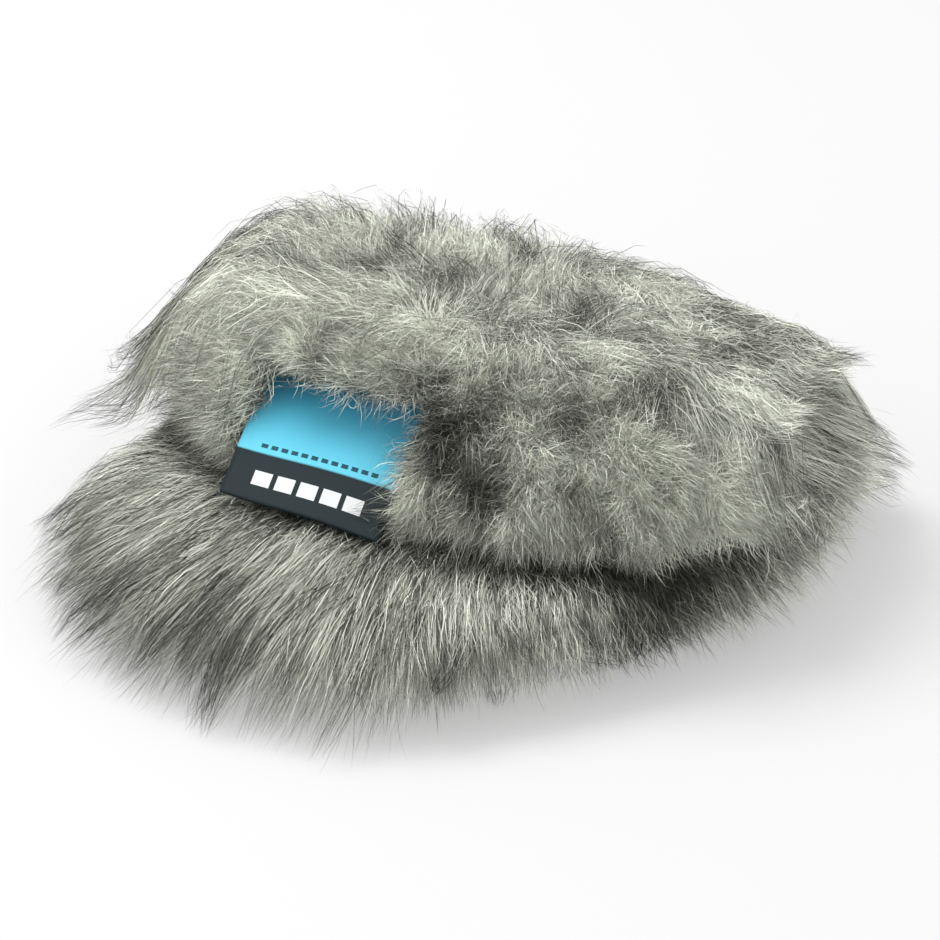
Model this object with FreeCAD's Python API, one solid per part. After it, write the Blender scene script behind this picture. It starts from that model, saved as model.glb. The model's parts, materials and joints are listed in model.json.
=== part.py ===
import FreeCAD, Part
import math
import os

# A long-pile fur cover for a basket windshield, lying flat with its mouth half folded
# back over its nose half. Millimetres, +Z up, +X along the fold, the fold at +Y.
# The origin is the centre of the cover's footprint on the surface that it lies on.
# Seen along the tube, each panel has an outer side (outside the fold) and an inner side.

Vector = FreeCAD.Vector

# ---- driving dimensions -------------------------------------------------------------
FOLD_Y = 78.0           # rearmost line of the fold, where the two halves hinge
FOLD_Z = 34.0           # height of the hinge line, between the two halves
BODY_GAP = 0.3          # clearance between each half and the hinge planes
WALL_Y = 62.0           # front face of the fold's own fur
NOSE_HOLLOW = (10.0, 24.0)      # heights of the flattened hollow inside the nose half
KNIT = 1.0              # ground fabric thickness
SEAM_WIDTH = 6.0        # overlocked seam allowance
SEAM_THICKNESS = 1.2

# Fur envelope of the nose half at its widest: left, right, front, place of the front's tip
# and the radii of its corners at the fold
NOSE_PLAN = {"left": -95.0, "right": 95.0, "front": -78.0, "tip": -5.0, "corners": (30.0, 30.0)}
NOSE_ROUND = (0.39, 0.72)       # share of the length that the left and right fronts round over
# height, then how far the envelope is drawn in at the left, the right, the front and the fold
NOSE_SECTIONS = [
    (0.0, 12.0, 12.0, 10.0, 24.0),
    (2.0, 6.0, 6.0, 4.0, 17.0),
    (6.0, 1.5, 1.5, 0.5, 9.0),
    (12.0, 0.0, 0.0, 0.0, 3.0),
    (16.0, 1.0, 1.0, 3.0, 1.5),
    (20.0, 3.5, 3.5, 10.0, 0.7),
    (25.0, 7.0, 8.0, 26.0, 0.0),
    (30.0, 14.0, 16.0, 48.0, 0.0),
    (FOLD_Z - BODY_GAP, 26.0, 28.0, 72.0, 0.0),
]
MOUTH_PLAN = {"left": -87.0, "right": 88.0, "front": -26.0, "tip": 12.0, "corners": (16.0, 28.0)}
MOUTH_ROUND = (0.68, 0.92)
MOUTH_SECTIONS = [
    (FOLD_Z + BODY_GAP, 20.0, 12.0, 38.0, 0.0),
    (37.0, 12.0, 5.0, 37.0, 0.0),
    (41.0, 6.0, 1.0, 37.0, 0.2),
    (46.0, 2.0, 0.0, 36.0, 0.7),
    (51.0, 0.0, 6.0, 26.0, 2.0),
    (55.0, 0.5, 14.0, 4.0, 5.0),
    (58.0, 2.0, 24.0, 0.0, 8.0),
    (61.5, 6.0, 37.0, 3.0, 13.0),
    (64.0, 13.0, 49.0, 10.0, 19.0),
    (66.0, 26.0, 63.0, 26.0, 28.0),
]

# Hollow of the nose half, in plan
NOSE_BAG = {"left": -76.0, "right": 76.0, "front": -56.0, "tip": -5.0, "corners": (8.0, 8.0)}
BAG_ROUND = (0.40, 0.62)
CAP_BACK_Y = -20.0      # where the nose cap meets the tube
# Hollow of the mouth half, open at the front: it gets lower towards the right
MOUTH_LEFT = -74.0
MOUTH_RIGHT = 70.0
MOUTH_FLOOR = (44.0, 41.0)      # heights at the left and at the right
MOUTH_CEILING = (58.0, 53.0)
SLOPE_X = 44.0          # where the ceiling starts to come down
HEM_Y = 11.0            # mouth edge of the cloth
HEM_WIDTH = 10.0
HEM_THICKNESS = 2.0
ELASTIC_WIDTH = 6.0
ELASTIC_THICKNESS = 0.8
STITCH_PITCH = 5.0
STITCH = (2.6, 0.5, 0.3)

# Zip, standing on edge in the mouth half's right side and facing +X
ZIP_Z = 47.0            # height of the chain's middle
GROOVE_HALF = 4.25      # half the parting in the pile along the zip
TAPE = 1.0
TAPE_FOLDED = 10.0      # width of tape sewn flat against the ground fabric
TOOTH = (2.8, 1.4, 1.8)         # depth (X), along the zip (Y), width (Z)
TOOTH_PITCH = 2.5
CHAIN_GAP = 1.2         # between the two rows, where the slider's divider runs
SLIDER_LENGTH = 8.2
SLIDER_HALF = 3.6
SLIDER_PLATE = 1.3
SLIDER_CLEARANCE = 0.4
DIVIDER = (2.4, 0.5)    # along the zip, thickness
PIVOT_OFFSET = 1.1      # pull axis above the slider's outer plate
PULL_LENGTH = 22.0
PULL_HALF = 2.5
PULL_WIRE_R = 0.6

# Label: a ribbon folded double, sewn into the mouth edge and lying on the nose half
LABEL_X = (-50.5, -9.0)
LABEL_ROOT = (9.8, 46.0)        # Y, Z of the sewn edge
LABEL_TIP = (-28.8, 31.3)       # Y, Z of the free edge
LABEL_THICKNESS = 1.0
BAND_LENGTH = 14.0


# ---- helpers ------------------------------------------------------------------------
def block(x0, x1, y0, y1, z0, z1):
    return Part.makeBox(x1 - x0, y1 - y0, z1 - z0, Vector(x0, y0, z0))


def quarter_ellipse(start, corner, end):
    """A quarter of an ellipse, tangent to start-corner and corner-end."""
    curve = Part.BezierCurve()
    curve.setPoles([start, corner, end])
    curve.setWeight(2, math.sqrt(0.5))
    return curve.toShape()


def outline(plan, rounding, z, insets, back_line=FOLD_Y):
    """A closed wire: round front, straight sides and back, round back corners.
    The insets are from the left, the right, the front and the back."""
    left, right = plan["left"] + insets[0], plan["right"] - insets[1]
    tip_x, tip_y = plan["tip"], plan["front"] + insets[2]
    back = back_line - insets[3]
    r_left, r_right = plan["corners"]
    left_end, right_end = back - r_left, back - r_right
    left_y = tip_y + rounding[0] * (left_end - tip_y)
    right_y = tip_y + rounding[1] * (right_end - tip_y)
    inner_left, inner_right = left + r_left, right - r_right
    bend = math.sqrt(0.5)
    edges = [
        Part.LineSegment(Vector(inner_right, back, z), Vector(inner_left, back, z)).toShape(),
        Part.Arc(
            Vector(inner_left, back, z),
            Vector(inner_left - bend * r_left, left_end + bend * r_left, z),
            Vector(left, left_end, z),
        ).toShape(),
        Part.LineSegment(Vector(left, left_end, z), Vector(left, left_y, z)).toShape(),
        quarter_ellipse(Vector(left, left_y, z), Vector(left, tip_y, z), Vector(tip_x, tip_y, z)),
        quarter_ellipse(Vector(tip_x, tip_y, z), Vector(right, tip_y, z), Vector(right, right_y, z)),
        Part.LineSegment(Vector(right, right_y, z), Vector(right, right_end, z)).toShape(),
        Part.Arc(
            Vector(right, right_end, z),
            Vector(inner_right + bend * r_right, right_end + bend * r_right, z),
            Vector(inner_right, back, z),
        ).toShape(),
    ]
    return Part.Wire(edges)


def envelope(plan, rounding, sections):
    """The outside of a half's pile: straight-sided bands from each section to the next."""
    wires = [
        outline(plan, rounding, section[0], section[1:], FOLD_Y - BODY_GAP) for section in sections
    ]
    return Part.makeLoft(wires, True, True)


def prism(plan, rounding, z0, z1, inset=0.0):
    wire = outline(plan, rounding, z0, (inset,) * 4, WALL_Y)
    return Part.Face(wire).extrude(Vector(0, 0, z1 - z0))


def middle(span):
    return 0.5 * (span[0] + span[1])


def extruded(points, direction):
    wire = Part.makePolygon(points + points[:1])
    return Part.Face(wire).extrude(direction)


# ---- nose half ----------------------------------------------------------------------
def nose_parts():
    low, high = NOSE_HOLLOW
    mid = middle(NOSE_HOLLOW)
    whole = envelope(NOSE_PLAN, NOSE_ROUND, NOSE_SECTIONS)
    bag = prism(NOSE_BAG, BAG_ROUND, low, high)
    cap_zone = block(-120, 120, -100, CAP_BACK_Y, low, high)
    tube = whole.common(block(-120, 120, -100, WALL_Y, -1, FOLD_Z)).cut(bag)
    panels = tube.cut(cap_zone)
    parts = {
        "nose_outer_fur": panels.common(block(-120, 120, -100, WALL_Y, -1, mid)),
        "nose_inner_fur": panels.common(block(-120, 120, -100, WALL_Y, mid, FOLD_Z)),
        "nose_cap_fur": tube.common(cap_zone),
        "nose_fold_fur": whole.common(block(-120, 120, WALL_Y, 100, -1, FOLD_Z)),
    }
    shell = bag.cut(prism(NOSE_BAG, BAG_ROUND, low + KNIT, high - KNIT, KNIT))
    cap_wall = block(-120, 120, -100, CAP_BACK_Y, low + KNIT, high - KNIT)
    sheets = shell.cut(cap_wall)
    parts["nose_cap_knit"] = shell.common(cap_wall)
    parts["nose_outer_knit"] = sheets.common(block(-120, 120, -100, 100, low, mid))
    parts["nose_inner_knit"] = sheets.common(block(-120, 120, -100, 100, mid, high))
    return parts


def nose_seams():
    """Overlocked allowances that stand inside the bag, along the cap and along both sides."""
    mid = middle(NOSE_HOLLOW)
    z0, z1 = mid - SEAM_THICKNESS / 2, mid + SEAM_THICKNESS / 2
    ring = prism(NOSE_BAG, BAG_ROUND, z0, z1, KNIT).cut(
        prism(NOSE_BAG, BAG_ROUND, z0, z1, KNIT + SEAM_WIDTH)
    )
    back = WALL_Y - KNIT - SEAM_WIDTH
    return {
        "nose_cap_seam": ring.common(block(-120, 120, -100, CAP_BACK_Y, z0, z1)),
        "nose_left_seam": ring.common(block(-120, 0, CAP_BACK_Y, back, z0, z1)),
        "nose_right_seam": ring.common(block(0, 120, CAP_BACK_Y, back, z0, z1)),
    }


# ---- mouth half ---------------------------------------------------------------------
MOUTH_MID = middle((MOUTH_FLOOR[0], MOUTH_CEILING[0]))
SLOPE = (MOUTH_CEILING[0] - MOUTH_CEILING[1]) / (MOUTH_RIGHT - SLOPE_X)


def lining_z(x, side, depth):
    """Height of the hollow's ceiling (side 1) or floor (side -1), drawn in by depth."""
    if side > 0:
        return MOUTH_CEILING[0] - SLOPE * (x - SLOPE_X) - depth * math.hypot(1.0, SLOPE)
    share = (x - MOUTH_LEFT) / (MOUTH_RIGHT - MOUTH_LEFT)
    return MOUTH_FLOOR[0] + share * (MOUTH_FLOOR[1] - MOUTH_FLOOR[0]) + depth


def sleeve(y0, y1, inset=0.0):
    """The mouth half's hollow between two stations, drawn in all round by inset."""
    corners = [
        (MOUTH_LEFT, MOUTH_FLOOR[0]),
        (MOUTH_RIGHT, MOUTH_FLOOR[1]),
        (MOUTH_RIGHT, MOUTH_CEILING[1]),
        (SLOPE_X, MOUTH_CEILING[0]),
        (MOUTH_LEFT, MOUTH_CEILING[0]),
    ]
    points = [Vector(x, y0, z) for x, z in corners]
    wire = Part.makePolygon(points + points[:1])
    if inset:
        wire = wire.makeOffset2D(-inset, 2)
    return Part.Face(wire).extrude(Vector(0, y1 - y0, 0))


def upper_side():
    """Everything above the line where the tube's outer and inner panels meet."""
    left = block(-120, MOUTH_LEFT / 2, -100, 100, MOUTH_MID, 100)
    return left.fuse(block(MOUTH_LEFT / 2, 120, -100, 100, ZIP_Z, 100))


def groove():
    """The parting in the pile along the zip."""
    return block(MOUTH_RIGHT, 120, -60, 100, ZIP_Z - GROOVE_HALF, ZIP_Z + GROOVE_HALF)


def zip_window():
    """The part of the right wall that the zip takes."""
    z0, z1 = lining_z(MOUTH_RIGHT, -1, KNIT), lining_z(MOUTH_RIGHT, 1, KNIT)
    return block(MOUTH_RIGHT - KNIT, MOUTH_RIGHT, HEM_Y, WALL_Y - KNIT, z0, z1)


def mouth_parts():
    whole = envelope(MOUTH_PLAN, MOUTH_ROUND, MOUTH_SECTIONS).cut(groove())
    tube = whole.common(block(-120, 120, -100, WALL_Y, FOLD_Z, 100))
    tube = tube.cut(sleeve(HEM_Y, WALL_Y))
    tube = tube.cut(block(-120, 120, -100, HEM_Y, FOLD_Z, MOUTH_CEILING[0]))
    shell = sleeve(HEM_Y, WALL_Y).cut(sleeve(HEM_Y, WALL_Y - KNIT, KNIT)).cut(zip_window())
    upper = upper_side()
    seam_x = MOUTH_LEFT + KNIT
    return {
        "mouth_outer_fur": tube.common(upper),
        "mouth_inner_fur": tube.cut(upper),
        "mouth_fold_fur": whole.common(block(-120, 120, WALL_Y, 100, FOLD_Z, 100)),
        "mouth_outer_knit": shell.common(upper),
        "mouth_inner_knit": shell.cut(upper),
        "mouth_left_seam": block(
            seam_x,
            seam_x + SEAM_WIDTH,
            HEM_Y + HEM_WIDTH + BODY_GAP,
            WALL_Y - KNIT,
            MOUTH_MID - SEAM_THICKNESS / 2,
            MOUTH_MID + SEAM_THICKNESS / 2,
        ),
    }


def hem_ring(y0, y1, inset, thickness):
    """A flattened band inside the mouth, open on the right where the zip is."""
    ring = sleeve(y0, y1, KNIT + inset).cut(sleeve(y0, y1, KNIT + inset + thickness))
    return ring.common(block(-120, MOUTH_RIGHT - TAPE_FOLDED, y0, y1, 0, 100))


def hem_parts():
    core_y = HEM_Y + (HEM_WIDTH - ELASTIC_WIDTH) / 2
    core_inset = (HEM_THICKNESS - ELASTIC_THICKNESS) / 2
    elastic = hem_ring(core_y, core_y + ELASTIC_WIDTH, core_inset, ELASTIC_THICKNESS)
    binding = hem_ring(HEM_Y, HEM_Y + HEM_WIDTH, 0.0, HEM_THICKNESS).cut(elastic)
    depth = KNIT + HEM_THICKNESS
    length, width, raised = STITCH
    stitch_y = HEM_Y + HEM_WIDTH - 1.5
    first = MOUTH_LEFT + depth + STITCH_PITCH
    count = int((SLOPE_X - length - first) / STITCH_PITCH)
    top = MOUTH_CEILING[0] - depth - raised
    stitches = []
    for index in range(count):
        x = first + index * STITCH_PITCH
        for z in (lining_z(x, -1, depth), top):
            stitches.append(block(x, x + length, stitch_y, stitch_y + width, z, z + raised))
    return {
        "hem_binding": binding,
        "hem_elastic": elastic,
        "hem_stitching": Part.makeCompound(stitches),
    }


# ---- zip ----------------------------------------------------------------------------
TAPE_X = MOUTH_RIGHT - TAPE
CHAIN_X = TAPE_X + TAPE / 2
CHAIN_HALF = CHAIN_GAP / 2 + TOOTH[2]
ZIP_FRONT = HEM_Y + 2.0
ZIP_BACK = WALL_Y - KNIT - 2.0
STOP_LENGTH = 1.5


def zip_tape(side):
    """Tape standing on edge beside the teeth, then bent flat against the ground fabric."""
    edge = ZIP_Z + side * CHAIN_HALF
    right, left = MOUTH_RIGHT, MOUTH_RIGHT - TAPE_FOLDED
    corner = lining_z(right, side, KNIT)
    profile = [
        (right, edge),
        (right, corner),
        (TAPE_X, corner),
        (TAPE_X, lining_z(TAPE_X, side, KNIT)),
        (left, lining_z(left, side, KNIT)),
        (left, lining_z(left, side, KNIT + TAPE)),
        (TAPE_X, lining_z(TAPE_X, side, KNIT + TAPE)),
        (TAPE_X, edge),
    ]
    points = [Vector(x, HEM_Y, z) for x, z in profile]
    return extruded(points, Vector(0, WALL_Y - KNIT - HEM_Y, 0))


def zip_teeth(side):
    depth, length, width = TOOTH
    near = ZIP_Z + side * CHAIN_GAP / 2
    z0 = near if side > 0 else near - width
    first = ZIP_FRONT + STOP_LENGTH + TOOTH_PITCH / 2 * (side > 0)
    count = int((ZIP_BACK - STOP_LENGTH - length - first) / TOOTH_PITCH) + 1
    teeth = []
    for index in range(count):
        y = first + index * TOOTH_PITCH
        tooth = block(CHAIN_X - depth / 2, CHAIN_X + depth / 2, y, y + length, z0, z0 + width)
        teeth.append(tooth)
    return Part.makeCompound(teeth)


def zip_stops():
    depth = TOOTH[0] / 2
    x0, x1 = CHAIN_X - depth, CHAIN_X + depth
    gap = CHAIN_GAP / 2
    y0, y1 = ZIP_FRONT - 0.4, ZIP_FRONT - 0.4 + STOP_LENGTH
    top = [
        block(x0, x1, y0, y1, ZIP_Z + gap, ZIP_Z + CHAIN_HALF),
        block(x0, x1, y0, y1, ZIP_Z - CHAIN_HALF, ZIP_Z - gap),
    ]
    bottom = block(
        x0, x1, ZIP_BACK, ZIP_BACK + STOP_LENGTH, ZIP_Z - CHAIN_HALF, ZIP_Z + CHAIN_HALF
    )
    return {"zip_top_stops": Part.makeCompound(top), "zip_bottom_stop": bottom}


def zip_stitching():
    length, width, raised = STITCH
    x = MOUTH_RIGHT - TAPE_FOLDED + 2.0
    z_up = lining_z(x + width, 1, KNIT + TAPE) - raised
    z_down = lining_z(x, -1, KNIT + TAPE)
    first = HEM_Y + HEM_WIDTH
    count = int((WALL_Y - KNIT - first) / STITCH_PITCH)
    stitches = []
    for index in range(count):
        y = first + index * STITCH_PITCH
        for z in (z_up, z_down):
            stitches.append(block(x, x + width, y, y + length, z, z + raised))
    return Part.makeCompound(stitches)


SLIDER_Y = ZIP_FRONT + STOP_LENGTH + SLIDER_LENGTH / 2
PLATE_IN = CHAIN_X - TOOTH[0] / 2 - SLIDER_CLEARANCE
PLATE_OUT = CHAIN_X + TOOTH[0] / 2 + SLIDER_CLEARANCE
PIVOT_X = PLATE_OUT + SLIDER_PLATE + PIVOT_OFFSET


def slider_plate(x0, x1):
    """A plate with rounded corners, wider at the mouth end."""
    y0, y1 = SLIDER_Y - SLIDER_LENGTH / 2, SLIDER_Y + SLIDER_LENGTH / 2
    back_half = SLIDER_HALF - 0.5
    outline_points = [
        Vector(x0, y0, ZIP_Z - SLIDER_HALF),
        Vector(x0, y0, ZIP_Z + SLIDER_HALF),
        Vector(x0, y1, ZIP_Z + back_half),
        Vector(x0, y1, ZIP_Z - back_half),
    ]
    plate = extruded(outline_points, Vector(x1 - x0, 0, 0))
    corners = [e for e in plate.Edges if abs(e.tangentAt(e.FirstParameter).x) > 0.99]
    return plate.makeFillet(1.2, corners)


def zip_slider():
    """Two plates, lips that hold the chain, a divider between the rows and a bridge."""
    outer = slider_plate(PLATE_OUT, PLATE_OUT + SLIDER_PLATE)
    inner = slider_plate(PLATE_IN - SLIDER_PLATE, PLATE_IN)
    half_post = DIVIDER[1] / 2
    post_y = SLIDER_Y - SLIDER_LENGTH / 2 + 1.2
    post = block(
        PLATE_IN, PLATE_OUT, post_y, post_y + DIVIDER[0], ZIP_Z - half_post, ZIP_Z + half_post
    )
    body = outer.fuse([inner, post])
    lip_in = CHAIN_HALF + SLIDER_CLEARANCE
    lip_out = SLIDER_HALF - 0.5
    y0, y1 = SLIDER_Y - SLIDER_LENGTH / 2 + 1.4, SLIDER_Y + SLIDER_LENGTH / 2 - 1.4
    for side in (-1, 1):
        z0, z1 = sorted((ZIP_Z + side * lip_in, ZIP_Z + side * lip_out))
        body = body.fuse([
            block(MOUTH_RIGHT + SLIDER_CLEARANCE, PLATE_OUT, y0, y1, z0, z1),
            block(PLATE_IN, TAPE_X - SLIDER_CLEARANCE, y0, y1, z0, z1),
        ])
    base_x = PLATE_OUT + SLIDER_PLATE
    bridge = block(base_x - 0.2, PIVOT_X + 1.7, SLIDER_Y - 2.3, SLIDER_Y + 2.3, ZIP_Z - 1.1, ZIP_Z + 1.1)
    ends = [e for e in bridge.Edges if e.BoundBox.XMin > PIVOT_X and e.BoundBox.ZLength > 1]
    bridge = bridge.makeFillet(1.4, ends)
    eye = Part.makeCylinder(0.95, 4, Vector(PIVOT_X, SLIDER_Y, ZIP_Z - 2), Vector(0, 0, 1))
    return body.fuse(bridge).cut(eye).removeSplitter()


def zip_pull():
    """A wire bar through the slider's bridge, two arms and a flat rounded tab."""
    arm_in, arm_out = 1.5, PULL_HALF
    bar = Part.makeCylinder(
        PULL_WIRE_R, 2 * arm_out, Vector(PIVOT_X, SLIDER_Y, ZIP_Z - arm_out), Vector(0, 0, 1)
    )
    x0, x1 = PIVOT_X - PULL_WIRE_R, PIVOT_X + PULL_WIRE_R
    solid = bar
    for side in (-1, 1):
        z0, z1 = sorted((ZIP_Z + side * arm_in, ZIP_Z + side * arm_out))
        solid = solid.fuse(block(x0, x1, SLIDER_Y, SLIDER_Y + 5.0, z0, z1))
    tab = block(
        x0, x1, SLIDER_Y + 4.4, SLIDER_Y + PULL_LENGTH, ZIP_Z - PULL_HALF, ZIP_Z + PULL_HALF
    )
    corners = [e for e in tab.Edges if e.BoundBox.XLength > 1 and e.BoundBox.YMax > SLIDER_Y + 10]
    tab = tab.makeFillet(2.0, corners)
    hole = Part.makeCylinder(
        1.2, 4, Vector(PIVOT_X - 2, SLIDER_Y + PULL_LENGTH - 4.0, ZIP_Z), Vector(1, 0, 0)
    )
    return solid.fuse(tab).cut(hole).removeSplitter()


# ---- label --------------------------------------------------------------------------
def label_slab(start, end, thickness):
    """A slab of ribbon between two shares of the length from the sewn edge to the tip."""
    root, tip = Vector(0, *LABEL_ROOT), Vector(0, *LABEL_TIP)
    along = (tip - root).normalize()
    normal = along.cross(Vector(1, 0, 0))
    normal = normal if normal.z > 0 else normal * -1
    half = normal * (thickness / 2)
    length = (tip - root).Length
    a, b = root + along * (start * length), root + along * (end * length)
    left = Vector(LABEL_X[0], 0, 0)
    points = [left + a - half, left + b - half, left + b + half, left + a + half]
    return extruded(points, Vector(LABEL_X[1] - LABEL_X[0], 0, 0))


def label_parts():
    length = (Vector(0, *LABEL_TIP) - Vector(0, *LABEL_ROOT)).Length
    split = 1.0 - BAND_LENGTH / length
    root_z = LABEL_ROOT[1]
    bar = block(LABEL_X[0], LABEL_X[1], LABEL_ROOT[0] + 0.6, HEM_Y, root_z - 0.9, root_z + 0.9)
    return {
        "label_ribbon": label_slab(0.0, split, LABEL_THICKNESS),
        "label_band": label_slab(split, 1.0, LABEL_THICKNESS),
        "label_sewn_bar": bar,
    }


# ---- build and write ----------------------------------------------------------------
def build():
    parts = {}
    parts.update(nose_parts())
    parts.update(nose_seams())
    parts.update(mouth_parts())
    parts.update(hem_parts())
    parts["zip_tape_outer"] = zip_tape(1)
    parts["zip_tape_inner"] = zip_tape(-1)
    parts["zip_teeth_outer"] = zip_teeth(1)
    parts["zip_teeth_inner"] = zip_teeth(-1)
    parts.update(zip_stops())
    parts["zip_stitching"] = zip_stitching()
    parts["zip_slider_body"] = zip_slider()
    parts["zip_pull"] = zip_pull()
    parts.update(label_parts())
    return parts


os.makedirs("parts", exist_ok=True)
for node, shape in build().items():
    solids = shape.Solids
    result = solids[0] if len(solids) == 1 else Part.makeCompound(solids)
    box = result.BoundBox
    print(
        f"{node}: {len(solids)} solid(s), valid {result.isValid()}, "
        f"x {box.XMin:.1f}..{box.XMax:.1f} y {box.YMin:.1f}..{box.YMax:.1f} "
        f"z {box.ZMin:.1f}..{box.ZMax:.1f}, {sum(s.Volume for s in solids) / 1000:.2f} cm3"
    )
    result.exportStep(f"parts/{node}.step")
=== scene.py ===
import json
import math

import bpy
import numpy as np
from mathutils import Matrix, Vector
from mathutils.bvhtree import BVHTree
from mathutils.kdtree import KDTree


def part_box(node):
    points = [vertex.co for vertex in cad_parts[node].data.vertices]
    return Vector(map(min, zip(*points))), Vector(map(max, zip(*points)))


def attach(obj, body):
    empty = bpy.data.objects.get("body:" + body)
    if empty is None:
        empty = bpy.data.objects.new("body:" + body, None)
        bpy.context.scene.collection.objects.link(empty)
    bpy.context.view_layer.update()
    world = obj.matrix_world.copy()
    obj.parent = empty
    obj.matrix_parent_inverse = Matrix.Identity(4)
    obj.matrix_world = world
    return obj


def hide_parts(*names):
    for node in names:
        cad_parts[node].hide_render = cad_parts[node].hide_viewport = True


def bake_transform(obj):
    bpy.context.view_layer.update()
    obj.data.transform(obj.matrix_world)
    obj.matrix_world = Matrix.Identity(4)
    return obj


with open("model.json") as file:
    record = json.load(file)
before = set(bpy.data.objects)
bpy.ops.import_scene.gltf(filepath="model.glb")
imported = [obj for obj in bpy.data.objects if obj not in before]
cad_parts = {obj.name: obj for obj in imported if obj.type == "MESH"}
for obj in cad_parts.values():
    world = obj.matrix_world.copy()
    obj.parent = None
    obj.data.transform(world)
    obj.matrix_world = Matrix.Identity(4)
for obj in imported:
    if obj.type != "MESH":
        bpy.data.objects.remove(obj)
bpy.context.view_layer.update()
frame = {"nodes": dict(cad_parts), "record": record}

# The looks of a long-pile fur cover that lies folded: ground fabric, pile, label, hem and zip.
# Lengths in this script are in millimetres, and meshes are scaled to metres as they are made.

MM = 0.001
SEED = 7


def box_mm(node):
    low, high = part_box(node)
    return np.array(low) / MM, np.array(high) / MM


def joint(name):
    return next(j for j in frame["record"]["behaviour"]["joints"] if j["name"] == name)


# ---- places taken from the frame ----
HINGE = np.array(joint("unfold")["pos_m"]) / MM
NOSE_LOW, NOSE_HIGH = box_mm("nose_outer_knit")[0], box_mm("nose_inner_knit")[1]
MOUTH_LOW, MOUTH_HIGH = box_mm("mouth_inner_knit")[0], box_mm("mouth_outer_knit")[1]
NOSE_MID = (NOSE_LOW[2] + NOSE_HIGH[2]) / 2
NOSE_HALF = (NOSE_HIGH[2] - NOSE_LOW[2]) / 2
CHAIN_LOW, CHAIN_HIGH = box_mm("zip_teeth_inner")[0], box_mm("zip_teeth_outer")[1]
CHAIN_Z = (CHAIN_LOW[2] + CHAIN_HIGH[2]) / 2
ZIP_CLEAR = 4.0         # how far above the middle of the zip the pile stays
ZIP_HALF = 5.5          # half the width of the opening along the zip
ON_WALL = 0.3           # how near the right wall a point of the fabric counts as on it
ZIP_END = box_mm("zip_bottom_stop")[1][1]
LABEL_LOW = np.minimum(box_mm("label_ribbon")[0], box_mm("label_band")[0])
LABEL_HIGH = np.maximum(box_mm("label_ribbon")[1], box_mm("label_band")[1])
LABEL_PIVOT = np.array(joint("label_lift")["pos_m"]) / MM

# ---- shape of the ground fabric ----
TIP_X = -5.0            # where the nose's front comes to its tip
NOSE_LEFT_Y = -18.0     # where the nose starts to round over, at the left and at the right
NOSE_RIGHT_Y = 22.0
NOSE_BLUNT = (2.0, 1.55)  # how square the nose is at the left and at the right; 2 is an ellipse
NOSE_THIN_Y = -34.0     # where the flattened tube starts to close at the nose
MOUTH_HALF = 7.0        # half thickness of the flattened tube in the mouth half
FOLD_START_Y = 56.0
FOLD_DEPTH = 11.0
FOLD_TUCK = 9.0         # how far the fold's ends are drawn in
FOLD_HALF = 3.4         # half thickness of the two pressed layers at the fold
CEILING = (58.0, 53.0)  # height of the mouth half's top fabric at the left and at the right
FLOOR = (44.0, 41.0)    # height of its underside, in the same way
SLOPE_X = 44.0          # where the top starts to slope down to the right
BACK_SAG = 7.0          # how far the top sags in its left back corner
MOUTH_MID = (CEILING[0] + FLOOR[0]) / 2

# ---- flow of the pile ----
NOSE_WHORL = np.array([-3.0, 34.0])     # where the pile of each half parts
MOUTH_WHORL = np.array([8.0, 34.0])


# ---- small helpers ----
def unit(v):
    return v / np.maximum(np.linalg.norm(v, axis=-1, keepdims=True), 1e-9)


def ramp(value, low, high):
    """0 at low, 1 at high, smooth between."""
    t = np.clip((value - low) / (high - low), 0.0, 1.0)
    return t * t * (3 - 2 * t)


LATTICE = 64            # size of the noise's table, after which it repeats


def noise(x, y, scale, seed):
    """Smooth noise between about -1 and 1 with features of the given size."""
    lattice = np.random.default_rng(seed).uniform(-1, 1, (LATTICE, LATTICE))
    u, v = x / scale + 31.3, y / scale + 29.7
    i, j = np.floor(u).astype(int), np.floor(v).astype(int)
    fu, fv = u - i, v - j
    fu, fv = fu * fu * (3 - 2 * fu), fv * fv * (3 - 2 * fv)
    i0, i1, j0, j1 = i % LATTICE, (i + 1) % LATTICE, j % LATTICE, (j + 1) % LATTICE
    near = lattice[i0, j0] * (1 - fu) + lattice[i1, j0] * fu
    far = lattice[i0, j1] * (1 - fu) + lattice[i1, j1] * fu
    return near * (1 - fv) + far * fv


def new_mesh(name, points, faces):
    mesh = bpy.data.meshes.new(name)
    mesh.from_pydata([tuple(p) for p in np.asarray(points) * MM], [], faces)
    mesh.validate()
    mesh.update()
    obj = bpy.data.objects.new(name, mesh)
    bpy.context.scene.collection.objects.link(obj)
    return obj


def smooth(obj):
    obj.data.polygons.foreach_set("use_smooth", np.ones(len(obj.data.polygons), dtype=bool))


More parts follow.
